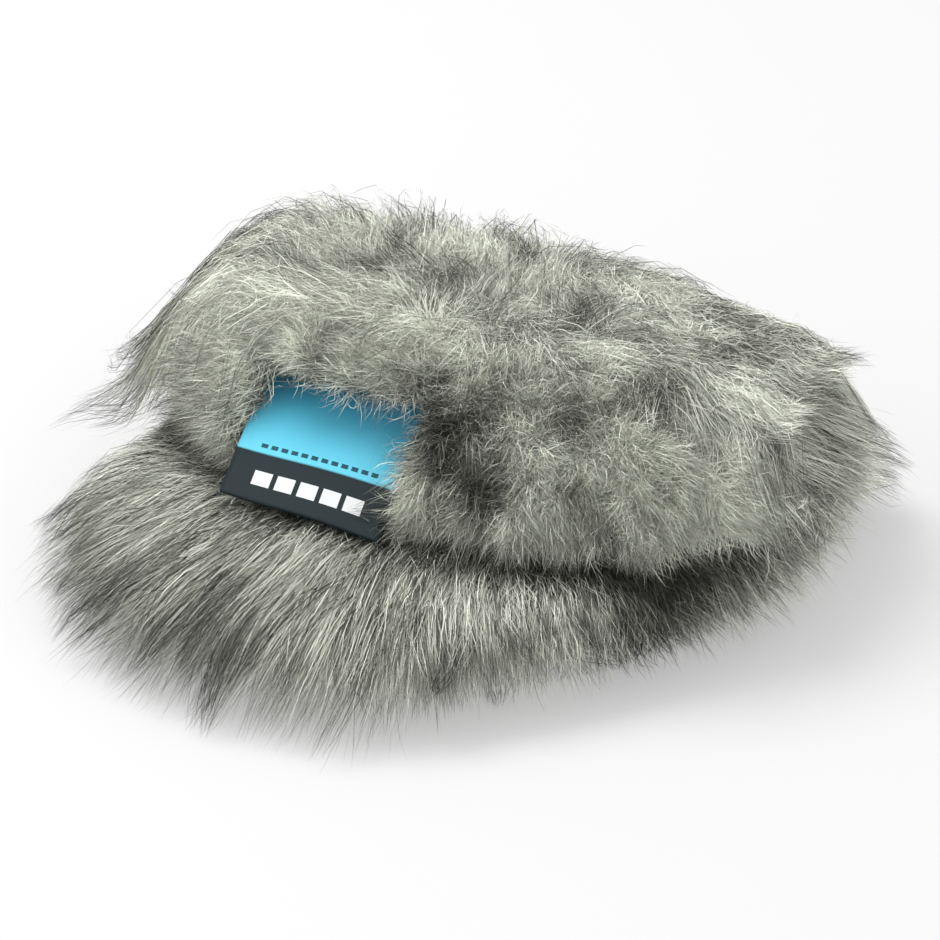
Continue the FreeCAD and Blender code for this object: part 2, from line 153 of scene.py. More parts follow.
# ---- materials ----
class Nodes:
    """A material's node tree, with short calls for the nodes that it uses."""

    def __init__(self, name, roughness, specular=0.3, metallic=0.0):
        self.material = bpy.data.materials.new(name)
        self.material.use_nodes = True
        self.tree = self.material.node_tree
        self.shader = self.tree.nodes["Principled BSDF"]
        self.shader.inputs["Roughness"].default_value = roughness
        self.shader.inputs["Specular IOR Level"].default_value = specular
        self.shader.inputs["Metallic"].default_value = metallic

    def add(self, kind, **settings):
        node = self.tree.nodes.new(kind)
        for key, value in settings.items():
            setattr(node, key, value)
        return node

    def link(self, source, target):
        self.tree.links.new(source, target)

    def place(self, uv=None):
        if uv:
            return self.add("ShaderNodeUVMap", uv_map=uv).outputs["UV"]
        return self.add("ShaderNodeTexCoord").outputs["Object"]

    def noise(self, scale, detail=3.0, uv=None):
        node = self.add("ShaderNodeTexNoise")
        node.inputs["Scale"].default_value = scale
        node.inputs["Detail"].default_value = detail
        self.link(self.place(uv), node.inputs["Vector"])
        return node.outputs["Fac"]

    def wave(self, scale, direction, uv=None, distortion=0.0):
        node = self.add("ShaderNodeTexWave", bands_direction=direction)
        node.inputs["Scale"].default_value = scale
        node.inputs["Distortion"].default_value = distortion
        self.link(self.place(uv), node.inputs["Vector"])
        return node.outputs["Fac"]

    def math(self, operation, a, b):
        node = self.add("ShaderNodeMath", operation=operation)
        for socket, value in zip(node.inputs, (a, b)):
            if isinstance(value, (int, float)):
                socket.default_value = value
            else:
                self.link(value, socket)
        return node.outputs[0]

    def ramp(self, source, stops):
        node = self.add("ShaderNodeValToRGB")
        elements = node.color_ramp.elements
        while len(elements) < len(stops):
            elements.new(0.5)
        for element, (position, colour) in zip(elements, stops):
            element.position = position
            element.color = (*colour, 1.0)
        self.link(source, node.inputs["Fac"])
        return node.outputs["Color"]

    def mix(self, mode, factor, a, b):
        node = self.add("ShaderNodeMix", data_type="RGBA", blend_type=mode)
        inputs = [s for s in node.inputs if s.enabled]
        for socket, value in zip(inputs, (factor, a, b)):
            if isinstance(value, (int, float)):
                socket.default_value = value
            elif isinstance(value, tuple):
                socket.default_value = (*value, 1.0)
            else:
                self.link(value, socket)
        return next(s for s in node.outputs if s.enabled)

    def colour(self, source):
        self.link(source, self.shader.inputs["Base Color"])

    def bump(self, height, strength, distance):
        node = self.add("ShaderNodeBump")
        node.inputs["Strength"].default_value = strength
        node.inputs["Distance"].default_value = distance
        self.link(height, node.inputs["Height"])
        self.link(node.outputs["Normal"], self.shader.inputs["Normal"])


def grey(value, warm=0.0):
    return (value * (1 - 0.2 * warm), value, value * (1 - warm))


def fur_material():
    """Hair colour from each strand's own tone (U) and from its root to its tip (V)."""
    nodes = Nodes("fur_pile", 0.7, 0.18)
    split = nodes.add("ShaderNodeSeparateXYZ")
    nodes.link(nodes.place("OFBake"), split.inputs["Vector"])
    tone = nodes.ramp(split.outputs["X"], [
        (0.0, grey(0.022, 0.15)), (0.25, grey(0.14, 0.15)), (0.5, grey(0.58, 0.14)),
        (0.75, grey(0.86, 0.13)), (1.0, grey(0.94, 0.12)),
    ])
    along = nodes.ramp(split.outputs["Y"], [
        (0.0, grey(0.13)), (0.22, grey(0.62)), (0.45, grey(1.0)), (0.62, grey(0.94)),
        (0.78, grey(0.34)), (1.0, grey(0.08)),
    ])
    nodes.colour(nodes.mix("MULTIPLY", 1.0, tone, along))
    return nodes.material


def knit_material():
    nodes = Nodes("ground_knit", 0.9, 0.15)
    rows = nodes.wave(260.0, "Y", distortion=2.0)
    nodes.colour(nodes.ramp(rows, [(0.0, grey(0.05, 0.06)), (1.0, grey(0.13, 0.06))]))
    nodes.bump(rows, 0.5, 0.0004)
    return nodes.material


def woven_material(name, dark, light, scale, roughness=0.75):
    nodes = Nodes(name, roughness, 0.25)
    weave = nodes.math("MULTIPLY", nodes.wave(scale, "X"), nodes.wave(scale, "Y"))
    mottled = nodes.math("ADD", weave, nodes.math("MULTIPLY", nodes.noise(420.0), 0.35))
    nodes.colour(nodes.ramp(mottled, [(0.0, dark), (0.9, light)]))
    nodes.bump(weave, 0.5, 0.0003)
    return nodes.material


def moulded_material(name, dark, light, roughness, metallic=0.0):
    nodes = Nodes(name, roughness, 0.5, metallic)
    grain = nodes.noise(900.0, 4.0)
    nodes.colour(nodes.ramp(grain, [(0.3, dark), (0.7, light)]))
    nodes.bump(grain, 0.15, 0.0001)
    return nodes.material


FUR = fur_material()
KNIT = knit_material()
BINDING = woven_material("binding_weave", grey(0.012), grey(0.045), 420.0)
TAPE = woven_material("zip_tape_weave", grey(0.008), grey(0.030), 620.0)
ELASTIC = woven_material("elastic_rib", grey(0.02), grey(0.05), 300.0, 0.65)
THREAD = woven_material("spun_thread", grey(0.10), grey(0.22), 900.0)
TEETH = moulded_material("zip_teeth_plastic", grey(0.012), grey(0.022), 0.38)
METAL = moulded_material("zip_black_metal", grey(0.015), grey(0.030), 0.32, 0.6)


def dress_cad_nodes():
    """Every CAD node that stays visible gets the material of its slot."""
    by_slot = {
        "fur": FUR, "knit": KNIT, "binding": BINDING, "elastic": ELASTIC, "thread": THREAD,
        "zip_tape": TAPE, "zip_teeth": TEETH, "zip_metal": METAL,
    }
    for part in frame["record"]["subparts"]:
        material = by_slot.get(part["material_slot"])
        if material:
            obj = frame["nodes"][part["node"]]
            obj.data.materials.clear()
            obj.data.materials.append(material)


# ---- ground fabric ----
def fall(x, y):
    """Heights of the mouth half's top and underside: lower at the right and in the back corner."""
    share = np.clip((x - SLOPE_X) / (MOUTH_HIGH[0] - SLOPE_X), 0, 1)
    top = CEILING[0] - share * (CEILING[0] - CEILING[1])
    top = top - BACK_SAG * ramp(-x, 45, 74) * ramp(y, 20, 60)
    low = FLOOR[0] + (x - MOUTH_LOW[0]) / (MOUTH_HIGH[0] - MOUTH_LOW[0]) * (FLOOR[1] - FLOOR[0])
    return top, low


def section(left, right, half, corner_left, corner_right):
    """Points (x, n) round the flattened tube, from the right wall's top over the outer side."""
    points = []

    def corner(cx, cn, radius, start):
        for a in np.radians(np.linspace(start, start + 90, 6)):
            points.append((cx + radius * math.cos(a), cn + radius * math.sin(a)))

    flat = np.linspace(0, 1, 26)[1:-1]
    corner(right - corner_right, half - corner_right, corner_right, 0)
    points += [
        (right - corner_right + f * (left + corner_left - right + corner_right), half)
        for f in flat
    ]
    corner(left + corner_left, half - corner_left, corner_left, 90)
    points += [(left, (half - corner_left) * (1 - 2 * f)) for f in (0.25, 0.5, 0.75)]
    corner(left + corner_left, corner_left - half, corner_left, 180)
    points += [
        (left + corner_left + f * (right - corner_right - left - corner_left), -half)
        for f in flat
    ]
    corner(right - corner_right, corner_right - half, corner_right, 270)
    points += [(right, (half - corner_right) * (2 * f - 1)) for f in (0.25, 0.5, 0.75)]
    return np.array(points)


def nose_edges(y):
    """Left and right edges of the nose bag at a station."""
    left, right = NOSE_LOW[0], NOSE_HIGH[0]
    front = NOSE_LOW[1]
    a = min(1.0, max(0.0, (NOSE_LEFT_Y - y) / (NOSE_LEFT_Y - front)))
    b = min(1.0, max(0.0, (NOSE_RIGHT_Y - y) / (NOSE_RIGHT_Y - front)))
    blunt_left, blunt_right = NOSE_BLUNT
    return (
        TIP_X + (left - TIP_X) * (1 - a ** blunt_left) ** (1 / blunt_left),
        TIP_X + (right - TIP_X) * (1 - b ** blunt_right) ** (1 / blunt_right),
    )


def skin_rings():
    """The fabric's rings from the mouth edge, round the fold, to the nose, and a code for each:
    1 in the mouth half, between 1 and 0 round the fold, 0 in the nose half."""
    rings, codes = [], []
    for y in np.linspace(MOUTH_LOW[1], FOLD_START_Y, 16):
        ring = section(MOUTH_LOW[0], MOUTH_HIGH[0], MOUTH_HALF, 6.8, 2.5)
        top, low = fall(ring[:, 0], y)
        z = (top + low) / 2 + ring[:, 1] / MOUTH_HALF * (top - low) / 2
        rings.append(np.column_stack([ring[:, 0], np.full(len(ring), y), z]))
        codes.append(1.0)
    rise = (MOUTH_MID - NOSE_MID) / 2
    for turn in np.linspace(90, -90, 23)[1:-1]:
        a = math.radians(turn)
        share = (math.sin(a) + 1) / 2
        half = FOLD_HALF + (MOUTH_HALF - FOLD_HALF) * abs(math.sin(a)) ** 2
        tuck = FOLD_TUCK * math.cos(a) ** 4
        right = NOSE_HIGH[0] + share * (MOUTH_HIGH[0] - NOSE_HIGH[0]) - tuck
        left = NOSE_LOW[0] + share * (MOUTH_LOW[0] - NOSE_LOW[0]) + tuck
        ring = section(left, right, half, half - 0.2, half - 0.2 - share * (half - 2.7))
        top, low = fall(ring[:, 0], FOLD_START_Y)
        keep = max(0.0, math.sin(a)) ** 1.5
        scale = 1 + keep * ((top - low) / (2 * MOUTH_HALF) - 1)
        n = ring[:, 1] * scale + keep * ((top + low) / 2 - MOUTH_MID)
        y = FOLD_START_Y + (FOLD_DEPTH + n * math.cos(a) ** 0.5) * math.cos(a)
        z = NOSE_MID + rise + (rise + n) * (math.sin(a) if abs(turn) > 1 else 0.0)
        rings.append(np.column_stack([ring[:, 0], y, z]))
        codes.append(share)
    front = NOSE_LOW[1]
    for f in np.linspace(0, 1, 44):
        y = FOLD_START_Y + (front + 0.6 - FOLD_START_Y) * (1 - (1 - f) ** 1.6)
        left, right = nose_edges(y)
        thin = max(0.0, (NOSE_THIN_Y - y) / (NOSE_THIN_Y - front))
        half = NOSE_HALF * math.sqrt(max(0.004, 1 - thin * thin))
        radius = min(half - 0.1 * half, (right - left) / 2 - 0.1)
        ring = section(left, right, half, radius, radius)
        rings.append(np.column_stack([ring[:, 0], np.full(len(ring), y), NOSE_MID - ring[:, 1]]))
        codes.append(0.0)
    return np.array(rings), np.array(codes)


RINGS, RING_CODES = skin_rings()


def skin_faces():
    """Quads between the rings, left open along the zip."""
    count, around = RINGS.shape[:2]
    faces = []
    for i in range(count - 1):
        for j in range(around):
            k = (j + 1) % around
            corners = [(i, j), (i, k), (i + 1, k), (i + 1, j)]
            middle = np.mean([RINGS[c] for c in corners], axis=0)
            wall = middle[0] > MOUTH_HIGH[0] - ON_WALL and abs(middle[2] - CHAIN_Z) < ZIP_HALF
            if wall and RING_CODES[i] > 0.8 and middle[1] < ZIP_END:
                continue
            faces.append([a * around + b for a, b in corners])
    faces.append([(count - 1) * around + b for b in range(around)])
    return faces


def make_skin():
    skin = new_mesh("ground_fabric", RINGS.reshape(-1, 3), skin_faces())
    smooth(skin)
    skin.data.materials.append(KNIT)
    return skin


SKIN = make_skin()
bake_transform(SKIN)
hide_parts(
    "nose_outer_knit", "nose_inner_knit", "nose_cap_knit", "mouth_outer_knit",
    "mouth_inner_knit", "nose_cap_seam", "nose_left_seam", "nose_right_seam", "mouth_left_seam",
)


# ---- heights that the pile keeps to ----
CELL = 2.0              # spacing of the height maps, along both sides
AXIS = np.arange(-130.0, 131.0, CELL)
NOWHERE = -60.0         # height where there's no surface below
DIAGONAL = 1.414


def mesh_tree(objects):
    points, faces = [], []
    for obj in objects:
        start = len(points)
        points += [tuple(v.co) for v in obj.data.vertices]
        faces += [[start + v for v in p.vertices] for p in obj.data.polygons]
    return BVHTree.FromPolygons(points, faces)


def height_map(tree, slope, above=None):
    """Heights of the highest surface over a grid, continued past its edge at a slope."""
    heights = np.full((len(AXIS), len(AXIS)), NOWHERE)
    for i, x in enumerate(AXIS):
        for j, y in enumerate(AXIS):
            hit = tree.ray_cast(Vector((x * MM, y * MM, 0.2)), Vector((0, 0, -1)))[0]
            if hit and (above is None or hit.z / MM > above):
                heights[i, j] = hit.z / MM
    for _ in range(30):
        padded = np.pad(heights, 1, constant_values=NOWHERE)
        near = [padded[1:-1, :-2], padded[1:-1, 2:], padded[:-2, 1:-1], padded[2:, 1:-1]]
        corners = [padded[:-2, :-2], padded[2:, :-2], padded[:-2, 2:], padded[2:, 2:]]
        heights = np.maximum(heights, np.max(near, axis=0) - slope * CELL)
        heights = np.maximum(heights, np.max(corners, axis=0) - slope * CELL * DIAGONAL)
    for _ in range(2):
        padded = np.pad(heights, 1, mode="edge")
        heights = (
            padded[1:-1, 1:-1] * 2 + padded[:-2, 1:-1] + padded[2:, 1:-1]
            + padded[1:-1, :-2] + padded[1:-1, 2:]
        ) / 6
    return heights


def look_up(heights, x, y):
    u = np.clip((x - AXIS[0]) / CELL, 0, len(AXIS) - 1.001)
    v = np.clip((y - AXIS[0]) / CELL, 0, len(AXIS) - 1.001)
    i, j = u.astype(int), v.astype(int)
    fu, fv = u - i, v - j
    near = heights[i, j] * (1 - fu) + heights[i + 1, j] * fu
    far = heights[i, j + 1] * (1 - fu) + heights[i + 1, j + 1] * fu
    return near * (1 - fv) + far * fv


NODES = frame["nodes"]
NOSE_FUR = ["nose_outer_fur", "nose_inner_fur", "nose_cap_fur", "nose_fold_fur"]
MOUTH_FUR = ["mouth_outer_fur", "mouth_inner_fur", "mouth_fold_fur"]
NOSE_TOP = height_map(mesh_tree([NODES[n] for n in NOSE_FUR]), 1.5)
MOUTH_TOP = height_map(mesh_tree([NODES[n] for n in MOUTH_FUR]), 1.1)
MOUTH_SKIN_TOP = height_map(mesh_tree([SKIN]), 1.6, above=HINGE[2] + 4)


def nose_skin_tree():
    """The fabric's lower half alone, up to the middle of the fold."""
    rings = RINGS[RING_CODES < 0.5]
    count, around = rings.shape[:2]
    faces = [
        [i * around + j, i * around + (j + 1) % around,
         (i + 1) * around + (j + 1) % around, (i + 1) * around + j]
        for i in range(count - 1) for j in range(around)
    ]
    return BVHTree.FromPolygons([tuple(p * MM) for p in rings.reshape(-1, 3)], faces)


NOSE_SKIN_TOP = height_map(nose_skin_tree(), 1.8)


# ---- roots ----
def skin_triangles():
    """Corners, outward normals and areas of the fabric's triangles, and their rings' codes."""
    around = RINGS.shape[1]
    a, b, c, d = (
        RINGS[:-1], np.roll(RINGS, -1, axis=1)[:-1], np.roll(RINGS, -1, axis=1)[1:], RINGS[1:]
    )
    corners = np.concatenate([np.stack([a, b, c], axis=2), np.stack([a, c, d], axis=2)])
    corners = corners.reshape(-1, 3, 3)
    cross = np.cross(corners[:, 1] - corners[:, 0], corners[:, 2] - corners[:, 0])
    middle = RINGS.mean(axis=1)
    inside = np.repeat((middle[:-1] + middle[1:]) / 2, around, axis=0)
    inside = np.concatenate([inside, inside])
    centres = corners.mean(axis=1)
    inside[:, 0] = np.clip(centres[:, 0], -66, 62)
    flip = np.sign((cross * (centres - inside)).sum(axis=1))
    codes = np.repeat((RING_CODES[:-1] + RING_CODES[1:]) / 2, around)
    areas = np.linalg.norm(cross, axis=1) / 2
    return corners, unit(cross) * flip[:, None], areas, np.concatenate([codes, codes])


TRIANGLES, TRIANGLE_NORMALS, TRIANGLE_AREAS, TRIANGLE_CODES = skin_triangles()


def scatter(weight, density, rng):
    """Roots over the fabric: density per square millimetre, times a weight per triangle."""
    share = TRIANGLE_AREAS * weight
    count = int(share.sum() * density)
    chosen = rng.choice(len(share), count, p=share / share.sum())
    u, v = rng.random(count), rng.random(count)
    u, v = np.where(u + v > 1, 1 - u, u), np.where(u + v > 1, 1 - v, v)
    corners = TRIANGLES[chosen]
    roots = corners[:, 0] + u[:, None] * (corners[:, 1] - corners[:, 0])
    roots += v[:, None] * (corners[:, 2] - corners[:, 0])
    return roots, TRIANGLE_NORMALS[chosen]


# ---- flow ----
# Spots on the mouth half where the pile is darker or lighter: x, y, radius, change of tone. They
# are partly its own mottled tone, partly painted shade in hollows and by the nose half, with
# painted light on the left flank (-62, 6). Round the front, y goes on down the pile's surface.
TONE_SHADE_AND_LIGHT_SPOTS = [
    (45, 6, 7, -0.34), (6, -14, 9, -0.20), (5, -27, 11, -0.30), (17, -35, 9, -0.38),
    (-34, 44, 8, -0.24), (-5, 60, 8, -0.28), (62, 40, 7, -0.22), (20, 22, 7, -0.16),
    (82, 16, 7, -0.15), (32, -6, 6, -0.26), (44, -20, 8, 0.28), (30, -38, 8, 0.36),
    (68, -26, 12, 0.46), (66, -9, 12, 0.40), (60, 12, 7, 0.26), (-12, 8, 11, 0.18),
    (70, 26, 8, 0.10), (-62, 6, 22, 0.44), (34, 34, 9, 0.10), (-30, 12, 14, 0.24),
]


def turned(vector, angle):
    c, s, x, y = np.cos(angle), np.sin(angle), vector[:, 0], vector[:, 1]
    return np.column_stack([x * c - y * s, x * s + y * c])


def tone_shade_and_light_spots(x, y):
    total = np.zeros(x.shape)
    for cx, cy, radius, change in TONE_SHADE_AND_LIGHT_SPOTS:
        total += change * np.exp(-((x - cx) ** 2 + (y - cy) ** 2) / radius ** 2)
    return total


def nose_flow(p):
    """Outward from the whorl, swinging a little from place to place."""
    out = unit(p[:, :2] - NOSE_WHORL)
    swing = 0.18 * noise(p[:, 0], p[:, 1], 30, 11) + 0.12 * noise(p[:, 0], p[:, 1], 7, 12)
    return turned(out, swing)


def mouth_flow(p):
    """Outward at the edges, short and unruly in the middle."""
    away = p[:, :2] - MOUTH_WHORL
    outward = ramp(np.linalg.norm(away * np.array([0.8, 1.3]), axis=1), 4, 52)[:, None]
    x, y = p[:, 0], p[:, 1]
    wild = np.column_stack([noise(x, y, 7, 23), noise(x, y, 7, 24)]) * 1.9
    wild += 0.9 * np.column_stack([noise(x, y, 19, 25), noise(x, y, 19, 26)])
    flow = unit(away * np.array([1.0, 1.25])) * outward + wild * (1 - 0.7 * outward)
    flow += np.array([-1.4, -0.35]) * ramp(-x, 34, 60)[:, None]
    return turned(unit(flow), 0.3 * noise(x, y, 6, 22))


# ---- strands ----
REACH = ((-102.0, 101.0), (-86.0, 86.0), (0.0, 71.0))   # beyond this the pile is held back
LEAST_Z = 0.4           # a growing strand's least height above the surface it lies on
TURN = 6.28             # one turn in radians, for the frizz


def grow(roots, normals, flow, length, lift, lean, spread, droop, ceiling, floor, steps, rng):
    """Paths (strand, point, xyz): up from the root, over into the flow and down with gravity,
    kept between the two heights."""
    count = len(roots)
    paths = np.empty((count, steps + 1, 3))
    paths[:, 0] = roots
    position = roots.copy()
    ahead = np.column_stack([flow(position), np.zeros(count)])
    wander = rng.normal(0, spread, (count, 3))
    heading = unit(normals * lift[:, None] + ahead * (1 - lift[:, None]) + wander)
    step = length / steps
    for k in range(steps):
        t = (k + 1) / steps
        target = np.column_stack([flow(position), -droop(position) * t]) + wander * 0.8
        heading = unit(heading * (1 - lean) + unit(target) * lean)
        following = position + heading * step[:, None]
        top, low = ceiling(following), floor(following)
        z = following[:, 2]
        z = np.where(z > top, top + (z - top) * 0.25, z)
        following[:, 2] = np.maximum(np.where(z < low, low, z), LEAST_Z)
        for axis, (least, most) in enumerate(REACH):
            inside = np.clip(following[:, axis], least, most)
            following[:, axis] = inside + (following[:, axis] - inside) * 0.3
        heading = unit(following - position)
        position = following
        paths[:, k + 1] = position
    return paths


def gather(paths, share, pull, rng):
    """Draws the strands together into locks, more towards their tips."""
    count = len(paths)
    guides = rng.choice(count, max(1, int(count * share)), replace=False)
    tree = KDTree(len(guides))
    for index, guide in enumerate(guides):
        tree.insert(paths[guide, 0], index)
    tree.balance()
    nearest = guides[[tree.find(root)[1] for root in paths[:, 0]]]
    t = np.linspace(0, 1, paths.shape[1])
    weight = (rng.normal(pull, 0.1, count).clip(0, 0.93)[:, None] * t[None, :] ** 1.3)[:, :, None]
    return paths + (paths[nearest] - paths) * weight, nearest


def frizz(paths, amount, rng):
    """A wave sideways along each strand."""
    count = len(paths)
    t = np.linspace(0, 1, paths.shape[1])[None, :, None]
    sideways = unit(rng.normal(0, 1, (count, 1, 3)))
    phase, waves = rng.uniform(0, TURN, (count, 1, 1)), rng.uniform(0.5, 1.6, (count, 1, 1))
    sway = amount * rng.uniform(0.3, 1.0, (count, 1, 1)) * t
    return paths + sideways * sway * (np.sin(phase + waves * TURN * t) - np.sin(phase))


def ribbons(paths, normals, width, tone, reach, rng):
    """Vertices, UVs, loops and face starts of one flat tapered ribbon per strand."""
    count, points = paths.shape[:2]
    tangent = np.empty_like(paths)
    tangent[:, 1:-1] = paths[:, 2:] - paths[:, :-2]
    tangent[:, 0], tangent[:, -1] = paths[:, 1] - paths[:, 0], paths[:, -1] - paths[:, -2]
    facing = unit(normals + rng.normal(0, 0.55, normals.shape))[:, None, :]
    side = unit(np.cross(unit(tangent), np.broadcast_to(facing, paths.shape)))
    t = np.linspace(0, 1, points)
    half = 0.5 * width[:, None] * (1 - t[None, :] ** 2.6) ** 0.8
    left = (paths - side * half[:, :, None])[:, :-1]
    right = (paths + side * half[:, :, None])[:, :-1]
    per = 2 * points - 1
    vertices = np.empty((count, per, 3))
    vertices[:, 0:-1:2], vertices[:, 1:-1:2], vertices[:, -1] = left, right, paths[:, -1]
    quads = points - 2          # and a triangle at the tip
    pattern = [[2 * k, 2 * k + 1, 2 * k + 3, 2 * k + 2] for k in range(quads)]
    loops = np.array(sum(pattern, []) + [2 * quads, 2 * quads + 1, per - 1])
    starts = np.array([4 * k for k in range(quads + 1)])
    offset = np.arange(count)[:, None]
    uv = np.empty((count, per, 2))
    uv[:, 0:-1:2, 0], uv[:, 1:-1:2, 0] = tone[:, :-1] - 0.002, tone[:, :-1] + 0.002
    uv[:, 0:-1:2, 1], uv[:, 1:-1:2, 1] = t[:-1] * reach, t[:-1] * reach
    uv[:, -1, 0], uv[:, -1, 1] = tone[:, -1], reach
    loop_vertices = (loops[None, :] + offset * per).ravel()
    return (
        vertices.reshape(-1, 3), uv.reshape(-1, 2), loop_vertices,
        (starts[None, :] + offset * len(loops)).ravel(),
    )


def strands(name, layers):
    """One mesh from every layer's ribbons."""
    vertices, uvs, loops, starts = [], [], [], []
    for layer_vertices, layer_uvs, layer_loops, layer_starts in layers:
        starts.append(layer_starts + sum(len(part) for part in loops))
        loops.append(layer_loops + sum(len(part) for part in vertices))
        vertices.append(layer_vertices)
        uvs.append(layer_uvs)
    vertices, uvs = np.concatenate(vertices), np.concatenate(uvs)
    loops, starts = np.concatenate(loops), np.concatenate(starts)
    mesh = bpy.data.meshes.new(name)
    mesh.vertices.add(len(vertices))
    mesh.vertices.foreach_set("co", (vertices * MM).astype(np.float32).ravel())
    mesh.loops.add(len(loops))
    mesh.loops.foreach_set("vertex_index", loops.astype(np.int32))
    mesh.polygons.add(len(starts))
    mesh.polygons.foreach_set("loop_start", starts.astype(np.int32))
    mesh.polygons.foreach_set("use_smooth", np.ones(len(starts), dtype=bool))
    mesh.update(calc_edges=True)
    layer = mesh.uv_layers.new(name="OFBake")
    layer.data.foreach_set("uv", uvs[loops].astype(np.float32).ravel())
    mesh.materials.append(FUR)
    obj = bpy.data.objects.new(name, mesh)
    bpy.context.scene.collection.objects.link(obj)
    return obj


def tones(paths, nearest, shade, rng, base):
    """Salt-and-pepper: a patchy ground by place, which holds painted shade and painted light too,
    and a tone per lock and per hair.
    """
    own = rng.normal(0, 0.05, len(paths))[nearest] + rng.normal(0, 0.13, len(paths))
    return np.clip(base + own[:, None] + shade(*np.moveaxis(paths, 2, 0)), 0.02, 0.98)


def nose_shade(x, y, z):
    """Painted shade where the mouth half's front overhangs the nose half, and a painted shadow at
    its right front; darker at the pile's tips and towards the right, that last partly painted shade
    and partly darker tips.
    """
    ahead = mouth_front(x) - y
    apart = np.where(ahead > 0, ahead / 9.0, np.maximum(-ahead - 8, 0) / 9.0)
    # Painted shade in the valley under the mouth half's front, over the nose half's pile.
    painted_valley_shade = -0.32 * np.exp(-apart ** 2) * (1 - 0.35 * ramp(x, 40, 80)) * ramp(z, 12, 26)
    tips = -0.13 * ramp(nose_distance(x, y), 1.12, 1.5)
    # A painted shadow in the valley at the mouth half's right front, added to the darker tips.
    tips -= 0.30 * np.exp(-((x - 60) / 14) ** 2 - ((y + 16) / 13) ** 2)
    mottle = 0.08 * noise(x, y, 16, 31) + 0.05 * noise(x, y, 6, 32)
    # Darker towards the right: partly painted shade, partly darker tips.
    return painted_valley_shade + tips - 0.02 - 0.09 * ramp(x, 15, 60) + mottle


def mouth_shade(x, y, z):
    """Mottled, darker and lighter in spots: the pile's own tone, with painted shade and painted
    light among them.
    """
    v = y - 0.8 * np.maximum(60 - z, 0) * (y < MOUTH_EDGE)
    mottle = 0.07 * noise(x, v, 20, 33) + 0.17 * noise(x, v, 8, 34) + 0.12 * noise(x, v, 4, 35)
    return 0.055 + tone_shade_and_light_spots(x, v) + mottle


def between(base, top, depth):
    return base + depth * (top - base)


# Each layer: its share of the roots, mean and spread of its length, least and most lift, lean into
# the flow, direction spread, how far it reaches up through the pile (low, high), frizz, width,
# locks (share of guides, pull), mean tone, how far along the root-to-tip colour it goes, and steps
LAYERS = {
    "under": dict(
        share=0.60, length=(15, 3), lift=(0.4, 0.9), lean=0.4, spread=0.45, depth=(0.25, 0.95),
        frizz=1.6, width=(0.11, 0.18), locks=(0.10, 0.35), tone=0.57, reach=0.70, steps=3,
    ),
    "guard": dict(
        share=0.37, length=(33, 5), lift=(0.35, 0.85), lean=0.45, spread=0.17, depth=(0.4, 1.1),
        frizz=0.8, width=(0.10, 0.17), locks=(0.10, 0.42), tone=0.54, reach=1.0, steps=5,
    ),
    "wisps": dict(
        share=0.07, length=(36, 5), lift=(0.4, 0.9), lean=0.4, spread=0.16, depth=(0.7, 1.3),
        frizz=1.2, width=(0.17, 0.25), locks=(0.07, 0.86), tone=0.25, reach=1.0, steps=5,
    ),
}
FLUFFY = {
    "under": dict(
        LAYERS["under"], share=0.66, lift=(0.7, 1.0), lean=0.16, spread=0.7,
        depth=(0.4, 1.02), frizz=2.8, locks=(0.06, 0.42),
    ),
    "guard": dict(
        LAYERS["guard"], share=0.30, length=(20, 4), lift=(0.6, 1.0), lean=0.22, spread=0.45,
        depth=(0.6, 1.15), frizz=2.0, locks=(0.05, 0.5),
    ),
    "wisps": dict(
        LAYERS["wisps"], share=0.08, length=(29, 5), lean=0.3, spread=0.3,
        depth=(0.95, 1.5), frizz=2.2, width=(0.14, 0.21),
    ),
}
FRINGE = {
    "under": dict(FLUFFY["under"], length=(11, 2), lift=(0.8, 1.0), lean=0.14, frizz=2.2),
    "guard": dict(FLUFFY["guard"], length=(22, 4), lift=(0.8, 1.0), lean=0.2),
    "wisps": dict(FLUFFY["wisps"], share=0.03, length=(27, 4)),
}


def pile(name, weight, density, kind, seed):
    """Undercoat, guard hairs and wisps over one stretch of fabric."""
    rng = np.random.default_rng(SEED * 1000 + seed)
    made = []
    for title, layer in kind.get("layers", LAYERS).items():
        if kind.get("roots"):
            roots, normals = kind["roots"](weight, int(density * layer["share"]), rng)
        else:
            roots, normals = scatter(weight, density * layer["share"], rng)
        count = len(roots)
        depth = rng.uniform(*layer["depth"], count)
        scale = kind["length"](roots) if title != "under" else 1 + 0.3 * (kind["length"](roots) - 1)
        length = rng.normal(*layer["length"], count) * scale
        paths = grow(
            roots, normals, kind["flow"], length, rng.uniform(*layer["lift"], count), layer["lean"],
            layer["spread"], kind["droop"], lambda p: kind["ceiling"](p, depth), kind["floor"],
            layer["steps"], rng,
        )
        paths, nearest = gather(paths, *layer["locks"], rng)
        paths = frizz(paths, layer["frizz"], rng)
        paths[:, :, 2] = np.maximum(paths[:, :, 2], 0.3)
        tone = tones(paths, nearest, kind["shade"], rng, layer["tone"])
        width = rng.uniform(*layer["width"], count)
        made.append(ribbons(paths, normals, width, tone, layer["reach"], rng))
    return strands(name, made)


def one(p):
    return np.ones(len(p))


def nose_ceiling(p, depth):
    base = np.maximum(look_up(NOSE_SKIN_TOP, p[:, 0], p[:, 1]), 0)
    return between(base, np.maximum(look_up(NOSE_TOP, p[:, 0], p[:, 1]), 2.0), depth)


def nose_floor(p):
    return np.maximum(look_up(NOSE_SKIN_TOP, p[:, 0], p[:, 1]) + 0.4, 0.4)


def mouth_front(x):
    """Front edge of the mouth half's pile."""
    left = 30.0 - 56.0 * np.sqrt(np.clip(1 - ((12 - x) / 99) ** 2, 0, 1))
    right = 39.0 - 65.0 * np.sqrt(np.clip(1 - ((x - 12) / 78) ** 2, 0, 1))
    return np.where(x < 12, left, right)


MOUTH_EDGE = MOUTH_LOW[1] + 1


